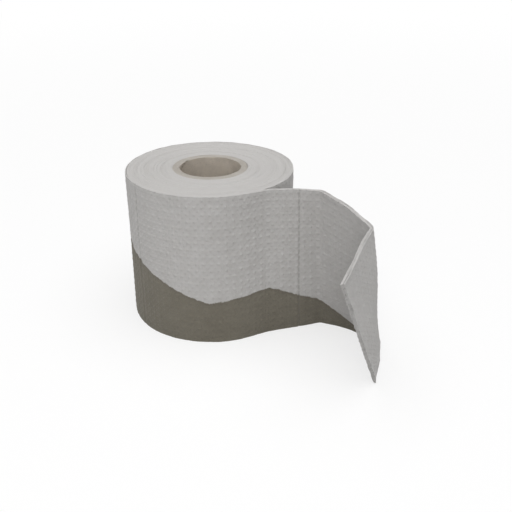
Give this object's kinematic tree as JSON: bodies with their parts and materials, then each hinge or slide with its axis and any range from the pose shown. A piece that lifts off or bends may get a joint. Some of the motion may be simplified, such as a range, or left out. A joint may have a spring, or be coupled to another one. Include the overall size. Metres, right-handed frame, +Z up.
{
  "type": "toilet paper roll",
  "caption": "Toilet paper roll standing on end, tissue wound on a board core tube, its free end standing loose in a forward curl; the lower part of its outer face is soiled.",
  "frame": {"origin": "on the core bore's axis, in the plane of the lower end that the roll stands on", "axes": "+Z up along the bore's axis; -Y towards the side that the loose end curls to; +X towards the side it leaves at"},
  "size_m": [0.1641, 0.1919, 0.1],
  "materials": {
    "core_board": "matt uncoated spiral-wound greyboard",
    "tissue": "matt soft embossed tissue, grey-brown dirt soaked into the lower outer face"
  },
  "bodies": {
    "root": {"core_tube": "core_board", "tissue_web": "tissue"}
  },
  "joints": []
}
